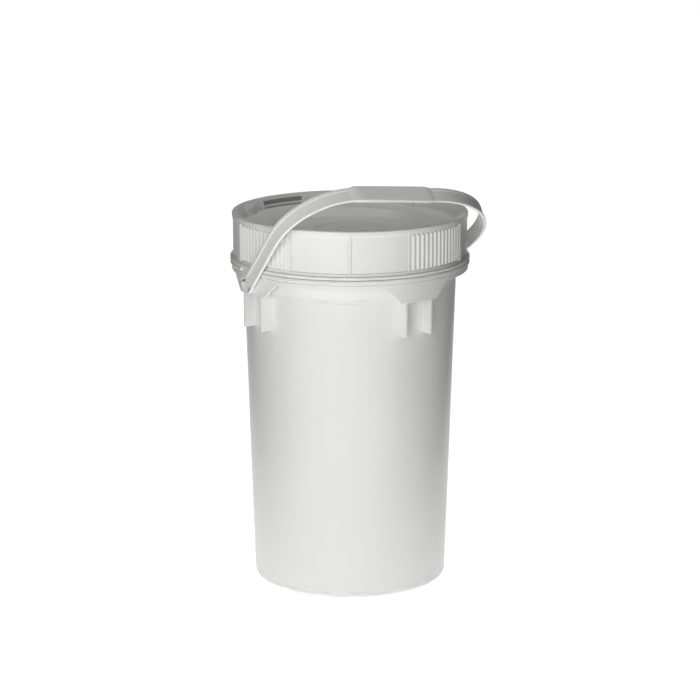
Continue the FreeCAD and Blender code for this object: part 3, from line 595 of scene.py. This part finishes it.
def lid_outline(angle):
    """The lid's section, with its lines beside the bars, and its pocket, tongue and two lugs."""
    pocket = (swell(angle, POCKET_ANGLE, POCKET_HALF, 0.5)
              * (1 - swell(angle, TONGUE_ANGLE, TONGUE_HALF, 0.5)))
    dome_place = (math.degrees(angle) - DOME_ANGLE) / DOME_HALF
    dome = math.sqrt(max(1 - dome_place * dome_place, 0.0)) if abs(dome_place) < 1 else 0.0
    hook = swell(angle, HOOK_ANGLE, HOOK_HALF, 0.6)
    lug = max(dome * DOME_OUT, hook * HOOK_OUT)
    line = max(swell(angle, place, line_half, line_half * 0.5) for place in line_places)
    panel = PANEL_RADIUS - LINE_DEPTH * line

    def wall(radius, level, deep, out):
        """A point of the recess wall, pushed out in the pocket and in on the lugs."""
        return (radius + (deep - radius) * pocket - lug * out, level)

    return rounded([
        (LID_INSIDE, LID_LOW, 0.5), (LID_BEAD_RADIUS, LID_LOW, 1.4),
        (LID_BEAD_RADIUS, LID_BEAD_TOP, 1.4), (RIM_RADIUS, LID_BEAD_TOP, 0.5),
        (RIM_RADIUS, LIP_TOP, 0.5), (panel, LIP_TOP, 0.5),
        (panel, BAND_LOW, 0.5), (RIM_RADIUS, BAND_LOW, 0.5), (RIM_RADIUS, LID_TOP, 1.8),
        (CREST_INSIDE, LID_TOP, 1.2), wall(144.4, 488.7, POCKET_RADIUS + 0.3, 0.0),
        wall(143.2, 487.3, POCKET_RADIUS, 0.7), wall(142.1, 486.1, POCKET_RADIUS, 0.95),
        wall(BEVEL_INSIDE, BEVEL_LEVEL, POCKET_RADIUS, 1.0), wall(139.2, 479.8, POCKET_RADIUS, 1.0),
        wall(138.6, 477.8, POCKET_RADIUS - 0.2, 1.0), wall(138.1, 477.2, 138.6, 1.0),
        wall(WELL_RADIUS, DECK + 0.4, WELL_RADIUS, 1.0), wall(WELL_RADIUS - 1.2, DECK, 136.1, 1.0),
        (DECK_STEP, DECK, 6.0), (DECK_STEP_LOW, INNER_DECK, 6.0),
        (BOSS_RADIUS, INNER_DECK, 0.5), (BOSS_RADIUS, DISC, 0.5), (RING_OUTER, DISC, 0.4),
        (RING_OUTER, INNER_DECK, 0.4), (RING_INNER, INNER_DECK, 0.4), (RING_INNER, DISC, 0.4),
        (0, DISC), (0, DISC - WELL_WALL), (DECK_STEP_LOW + WELL_WALL, DISC - WELL_WALL, 6.0),
        (DECK_STEP + WELL_WALL, DECK - WELL_WALL, 6.0),
        (WELL_RADIUS + WELL_WALL, DECK - WELL_WALL, 2.0), (CHANNEL, BEVEL_LEVEL),
        (CHANNEL, SEAL_TOP, 0.5), (LID_INSIDE, SEAL_TOP, 0.5)])


# The two hollow zones paint shade into the lid's wrench pocket and along the foot of its recess wall.
lid_plastic = plastic("lid_plastic", 0.86, 0.30, [(0.431, 0.003), (0.4905, 0.0025)],
                      painted_shade_zones=((0.1433, 0.1446, 0.4770, 0.4866), (0.1388, 0.1446, 0.4766, 0.4781)))
fine_columns = [POCKET_ANGLE + side * (POCKET_HALF + edge) for side in (-1, 1)
                for edge in (-0.3, -0.15, 0.0, 0.15, 0.3)]
fine_columns += [TONGUE_ANGLE + side * (TONGUE_HALF + edge) for side in (-1, 1)
                 for edge in (-0.3, -0.15, 0.0, 0.15, 0.3)]
fine_columns += [place + line_half * edge for place in line_places
                 for edge in (-1.3, -1.0, -0.7, 0.0, 0.7, 1.0, 1.3)]
fine_columns += [DOME_ANGLE + DOME_HALF * math.sin(math.pi * step / 24) for step in range(-12, 13)]
fine_columns += [HOOK_ANGLE + side * (HOOK_HALF + edge) for side in (-1, 1)
                 for edge in (-0.35, -0.2, 0.0, 0.2, 0.35)]
lid = lathe("lid_shell", lid_outline, around_all(COLUMN_STEP, fine_columns), lid_plastic)
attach(lid, "lid")
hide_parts("lid")

lid_threads = threads("lid_threads", LID_INSIDE, -1, THREAD_LEVEL - THREAD_LEAD / THREAD_STARTS / 2,
                      0.0, lid_plastic)
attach(lid_threads, "lid")


# ---------------------------------------------------------------- grip ribs and bars on the lid
# The skirt has four groups of rounded ribs for the fingers, each ended by a broad upright bar, and
# thin upright bars between its plain panels. All are moulded with the skirt.

RIB_RADIUS, RIB_OUT, RIB_PITCH, RIB_COUNT, RIB_FIRST, RIB_CLEAR = 2.0, 2.1, 2.65, 13, 31.4, 1.2
BAND_OUT, END_BAR_ANGLE, END_BAR_WIDTH = 1.1, 66.6, 7.0
MARK_ANGLES, MARK_WIDTH, MARK_OUT = (28.5, 58.5), 1.6, 0.5


def fan_of(thing, count, pitch, first):
    """Repeats an object round the lid: a fan of copies, its mirror image, and both again opposite."""
    tree, source, (number, step, start) = tree_for(
        thing, thing.name + "_fan", {"Count": count, "Pitch": pitch, "First": first})
    points = node(tree, "GeometryNodePoints", {"Count": number * 4.0})
    index = node(tree, "GeometryNodeInputIndex", {})
    group = (index / number).math("FLOOR")
    place = start + step * (index - group * number)
    side = 1.0 - 2.0 * group.math("MODULO", 2.0)
    angle = place * side + 180.0 * (group / 2.0).math("FLOOR") + LID_TURNED
    spin = node(tree, "ShaderNodeCombineXYZ", {"Z": angle * math.radians(1)})
    copies = node(tree, "GeometryNodeInstanceOnPoints",
                  {"Points": points, "Instance": source, "Rotation": spin})
    close_tree(tree, copies, thing.data.materials[0])
    return baked(thing)


def rib(name, low, high, width, out, radius, material):
    """One upright rib on the skirt: a rounded section that dies away at both ends."""
    def build(shape):
        loops = []
        for level, scale in ((low, 0.25), (low + 0.25 * radius, 0.7), (low + 0.7 * radius, 0.95),
                             (low + 1.2 * radius, 1.0), (high - 1.2 * radius, 1.0),
                             (high - 0.7 * radius, 0.95), (high - 0.25 * radius, 0.7), (high, 0.25)):
            flat = max(width / 2 - radius, 0.0)
            section = [(-0.6, -width / 2), (-0.6, width / 2)]
            for step in range(9):
                lift = math.pi * step / 8
                section.append((math.sin(lift) * out * scale,
                                (flat + min(radius, width / 2) * abs(math.cos(lift)))
                                * (1 if step < 4 else -1 if step > 4 else 0)))
            loops.append([shape.verts.new(Vector((PANEL_RADIUS + x, y, level)) * MM)
                          for x, y in section])
        join_loops(shape, loops)
    return solid(name, build, material)


ribs = rib("lid_ribs", LIP_TOP + RIB_CLEAR, BAND_LOW - RIB_CLEAR, 2 * RIB_RADIUS * 0.97, RIB_OUT,
           RIB_RADIUS, lid_plastic)
fan_of(ribs, RIB_COUNT, RIB_PITCH, RIB_FIRST)
end_bars = slab("lid_end_bars", rounded([(PANEL_RADIUS - 1, LIP_TOP - 0.5),
                                         (PANEL_RADIUS + RIB_OUT, LIP_TOP - 0.5, 0.6),
                                         (PANEL_RADIUS + RIB_OUT, BAND_LOW + 0.5, 0.6),
                                         (PANEL_RADIUS - 1, BAND_LOW + 0.5)]),
                END_BAR_WIDTH, 0.6, lid_plastic)
fan_of(end_bars, 1, 0.0, END_BAR_ANGLE)
dividers = slab("lid_dividers", rounded([(PANEL_RADIUS - 1, LIP_TOP - 0.5),
                                         (PANEL_RADIUS + BAND_OUT, LIP_TOP - 0.5),
                                         (PANEL_RADIUS + BAND_OUT, BAND_LOW + 0.5),
                                         (PANEL_RADIUS - 1, BAND_LOW + 0.5)]),
                DIVIDER_WIDTH, 0.3, lid_plastic,
                ((0, 0), (0, DIVIDER_ANGLE), (0, -DIVIDER_ANGLE)))
ring_of(dividers, 2, 180.0, LID_TURNED)
mark_outline = rounded([
    (RIM_RADIUS - 1, BAND_LOW + 0.8), (RIM_RADIUS + MARK_OUT, BAND_LOW + 0.8, 0.3),
    (RIM_RADIUS + MARK_OUT, LID_TOP - 0.9, 0.3), (RIM_RADIUS - 1, LID_TOP - 0.9)])
marks = slab("lid_marks", mark_outline, MARK_WIDTH, 0.2, lid_plastic,
             [(0, 0)] + [(0, side * angle) for angle in MARK_ANGLES for side in (-1, 1)])
ring_of(marks, 2, 180.0, LID_TURNED)
for piece in (ribs, end_bars, dividers, marks):
    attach(piece, "lid")


# ---------------------------------------------------------------- sealing ring
# A soft, dull rubber ring of rounded rectangular section that lies loose in the lid's channel and is
# pressed on the edge of the neck.

SEAL_INSIDE, SEAL_OUTSIDE = 145.3, 150.3
SEAL_LOW = NECK_TOP
soft_rubber = plastic("seal_rubber", 0.55, 0.7, None, 0.0002)
seal = lathe("seal_ring", lambda angle: rounded([
    (SEAL_INSIDE, SEAL_LOW, 0.6), (SEAL_OUTSIDE, SEAL_LOW, 0.6), (SEAL_OUTSIDE, SEAL_TOP, 0.6),
    (SEAL_INSIDE, SEAL_TOP, 0.6)]), around_all(), soft_rubber)
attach(seal, "seal")
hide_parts("sealing_ring")


# ---------------------------------------------------------------- bail handle
# A single moulding of greyer plastic: a strap with a shallow channel along its outer face, a thick
# grip at the top, and a hub, pin and head at both ends that snap through the ears. The strap is
# springy and has taken a set, so that its right side leans further over.

PIVOT_LEVEL, PIN_RADIUS, HEAD_RADIUS, HUB_RADIUS = 409.0, 6.0, 9.0, 9.5
HEAD_INNER, HEAD_FACE, HUB_FACE = 148.53, 151.13, 154.8
STRAP_INSIDE, STRAP_OUTSIDE, STRAP_WIDTH, STRAP_THICKNESS = 157.6, 161.6, 20.0, 4.0
STRAP_MIDDLE, STRAP_TOP, CHANNEL_HALF, CHANNEL_DEPTH = 159.6, 179.14, 6.0, 0.9
RIGHT_BEND, LEFT_BEND, BEND_STEPS = 120.0, 89.0, 28
GRIP_RIGHT, GRIP_LEFT_SLOPE, GRIP_WIDTH, GRIP_THICKNESS = 33.0, 11.0, 23.0, 5.4
GRIP_RIB_PITCH, GRIP_RIB_OUT, GRIP_RIB_WIDTH, GRIP_RIB_LENGTH = 24.0, 1.2, 2.4, 17.0
BAIL_LEAN, BAIL_TWIST, PIVOT_TURNS = 47.7, 6.7, 64


def strap_path():
    """Points (x, height, slope) along the middle of the upright strap, right pivot first."""
    path = [(STRAP_MIDDLE, height, 0.0) for height in (0.0, 9.0, 13.0, 30.0)]
    for bend, side in ((RIGHT_BEND, 1), (LEFT_BEND, -1)):
        for step in range(BEND_STEPS + 1):
            slope = math.pi / 2 * (step if side > 0 else BEND_STEPS - step) / BEND_STEPS
            path.append((side * (STRAP_MIDDLE - bend + bend * math.cos(slope)),
                         STRAP_TOP - bend + bend * math.sin(slope),
                         slope if side > 0 else math.pi - slope))
        if side > 0:
            left = LEFT_BEND - STRAP_MIDDLE
            right = STRAP_MIDDLE - RIGHT_BEND
            path += [(right + (left - right) * part, STRAP_TOP, math.pi / 2)
                     for part in (0.2, 0.4, 0.6, 0.8)]
    return path + [(-STRAP_MIDDLE, height, math.pi) for height in (50.0, 30.0, 13.0, 9.0, 0.0)]


def run_along(name, path, section_at, material):
    """A solid that follows a path. section_at(number) gives (outward, sideways) points."""
    def build(shape):
        loops = []
        for number, (x, height, slope) in enumerate(path):
            out = Vector((math.cos(slope), 0, math.sin(slope)))
            loops.append([shape.verts.new((Vector((x, point.y, height)) + out * point.x) * MM)
                          for point in section_at(number)])
        join_loops(shape, loops)
    return solid(name, build, material)


def leaned(thing):
    """Leans an upright piece of the bail over its pivots and gives it the strap's twist."""
    tree, source, (lean, twist, span, level) = tree_for(
        thing, thing.name + "_lean", {"Lean": BAIL_LEAN, "Twist": BAIL_TWIST,
                                      "Span": STRAP_MIDDLE * MM, "Pivot level": PIVOT_LEVEL * MM})
    place = node(tree, "GeometryNodeInputPosition", {})
    across = node(tree, "ShaderNodeSeparateXYZ", {"Vector": place}, 0)
    angle = (lean + twist * across / span) * math.radians(1)
    turned = node(tree, "ShaderNodeVectorRotate", {"Vector": place, "Angle": angle},
                  rotation_type="X_AXIS")
    lift = node(tree, "ShaderNodeCombineXYZ", {"Z": level})
    moved = node(tree, "ShaderNodeVectorMath", {0: turned, 1: lift}, operation="ADD")
    bent = node(tree, "GeometryNodeSetPosition", {"Geometry": source, "Position": moved})
    close_tree(tree, bent, thing.data.materials[0])
    return smoothed(baked(thing))


def strap_section(number):
    """The strap's section, with a shallow channel that fades out at both ends."""
    channel = ease((min(number, len(path) - 1 - number) - 1.5) / 1.0) * CHANNEL_DEPTH + 0.02
    half, edge = STRAP_THICKNESS / 2, STRAP_WIDTH / 2
    return rounded([
        (-half, -edge, 0.8), (half, -edge, 0.8), (half, -CHANNEL_HALF, 0.3),
        (half - channel, -CHANNEL_HALF + channel * 0.6, 0.3),
        (half - channel, CHANNEL_HALF - channel * 0.6, 0.3), (half, CHANNEL_HALF, 0.3),
        (half, edge, 0.8), (-half, edge, 0.8)])


def grip_section(number):
    """The grip's section, which narrows to the strap's at both ends."""
    ends = min(number, len(grip_path) - 1 - number)
    share = (0.0, 0.35, 0.8, 1.0)[min(ends, 3)]
    inner = -STRAP_THICKNESS / 2 + 0.02
    outer = inner + 3.4 + (GRIP_THICKNESS - 3.44) * share
    edge = STRAP_WIDTH / 2 - 0.1 + (GRIP_WIDTH - STRAP_WIDTH) / 2 * share
    return rounded([(inner, -edge, 1.2), (outer, -edge, 1.6), (outer, edge, 1.6), (inner, edge, 1.2)])


bail_plastic = plastic("bail_plastic", 0.87, 0.38, None)
path = strap_path()
strap = run_along("bail_strap", path, strap_section, bail_plastic)
leaned(strap)
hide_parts("bail_handle")

grip_left = LEFT_BEND - STRAP_MIDDLE
grip_path = [(GRIP_RIGHT - step, STRAP_TOP, math.pi / 2) for step in (0.0, 3.0, 7.0, 12.0, 30, 55, 80)]
for slope in (0.0, 0.2, 0.4, 0.6, 0.8, 1.0):
    angle = math.radians(GRIP_LEFT_SLOPE) * slope
    grip_path.append((grip_left - LEFT_BEND * math.sin(angle),
                      STRAP_TOP - LEFT_BEND * (1 - math.cos(angle)), math.pi / 2 + angle))
grip = run_along("bail_grip", grip_path, grip_section, bail_plastic)
leaned(grip)

grip_middle = (GRIP_RIGHT + grip_path[-1][0]) / 2
grip_inner = STRAP_TOP - STRAP_THICKNESS / 2


def build_grip_rib(shape):
    """One low bar across the underside of the grip, lower at both ends."""
    loops = []
    for aside, scale in ((-1.0, 0.3), (-0.96, 0.8), (-0.9, 1.0), (0.9, 1.0), (0.96, 0.8), (1.0, 0.3)):
        section = rounded([
            (-GRIP_RIB_WIDTH / 2, 0.6), (-GRIP_RIB_WIDTH / 2, -GRIP_RIB_OUT * scale, 0.25),
            (GRIP_RIB_WIDTH / 2, -GRIP_RIB_OUT * scale, 0.25), (GRIP_RIB_WIDTH / 2, 0.6)])
        loops.append([shape.verts.new(Vector((point.x, aside * GRIP_RIB_LENGTH / 2, point.y)) * MM)
                      for point in section])
    join_loops(shape, loops)


grip_ribs = solid("bail_grip_ribs", build_grip_rib, bail_plastic)
tree, source, (pitch, middle, level) = tree_for(grip_ribs, "grip_rib_row", {
    "Pitch": GRIP_RIB_PITCH * MM, "Middle": grip_middle * MM, "Level": grip_inner * MM})
points = node(tree, "GeometryNodePoints", {
    "Count": 4, "Position": node(tree, "ShaderNodeCombineXYZ", {
        "X": (node(tree, "GeometryNodeInputIndex", {}) - 1.5) * pitch + middle, "Z": level})})
row = node(tree, "GeometryNodeInstanceOnPoints", {"Points": points, "Instance": source})
close_tree(tree, row, bail_plastic)
leaned(baked(grip_ribs))


def build_pivots(shape):
    """The hub, pin and head of both ends, turned about the pivot axis."""
    outline = rounded([
        (HEAD_INNER, 0), (HEAD_INNER, HEAD_RADIUS, 0.8), (HEAD_FACE, HEAD_RADIUS, 0.3),
        (HEAD_FACE, PIN_RADIUS, 0.2), (HUB_FACE, PIN_RADIUS, 0.2), (HUB_FACE, HUB_RADIUS, 0.5),
        (STRAP_INSIDE, HUB_RADIUS, 0.3), (STRAP_INSIDE, STRAP_WIDTH / 2, 0.3),
        (STRAP_OUTSIDE, STRAP_WIDTH / 2, 0.8), (STRAP_OUTSIDE, 7.0, 0.3),
        (STRAP_OUTSIDE - 0.6, 6.4, 0.3), (STRAP_OUTSIDE - 0.6, 0)])
    for side in (-1, 1):
        loops = []
        for number in range(PIVOT_TURNS):
            angle = 2 * math.pi * number / PIVOT_TURNS
            loops.append([shape.verts.new(Vector((side * point.x, point.y * math.cos(angle),
                                                  point.y * math.sin(angle))) * MM)
                          for point in outline])
        for here, beside in zip(loops, loops[1:] + loops[:1]):
            for row in range(len(outline) - 1):
                corners = (here[row], here[row + 1], beside[row + 1], beside[row])
                kept = [corner for number, corner in enumerate(corners)
                        if corner.co.yz.length > ON_AXIS or number < 2]
                shape.faces.new(kept)


pivots = solid("bail_pivots", build_pivots, bail_plastic)
leaned(pivots)
for piece in (strap, grip, grip_ribs, pivots):
    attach(piece, "bail")
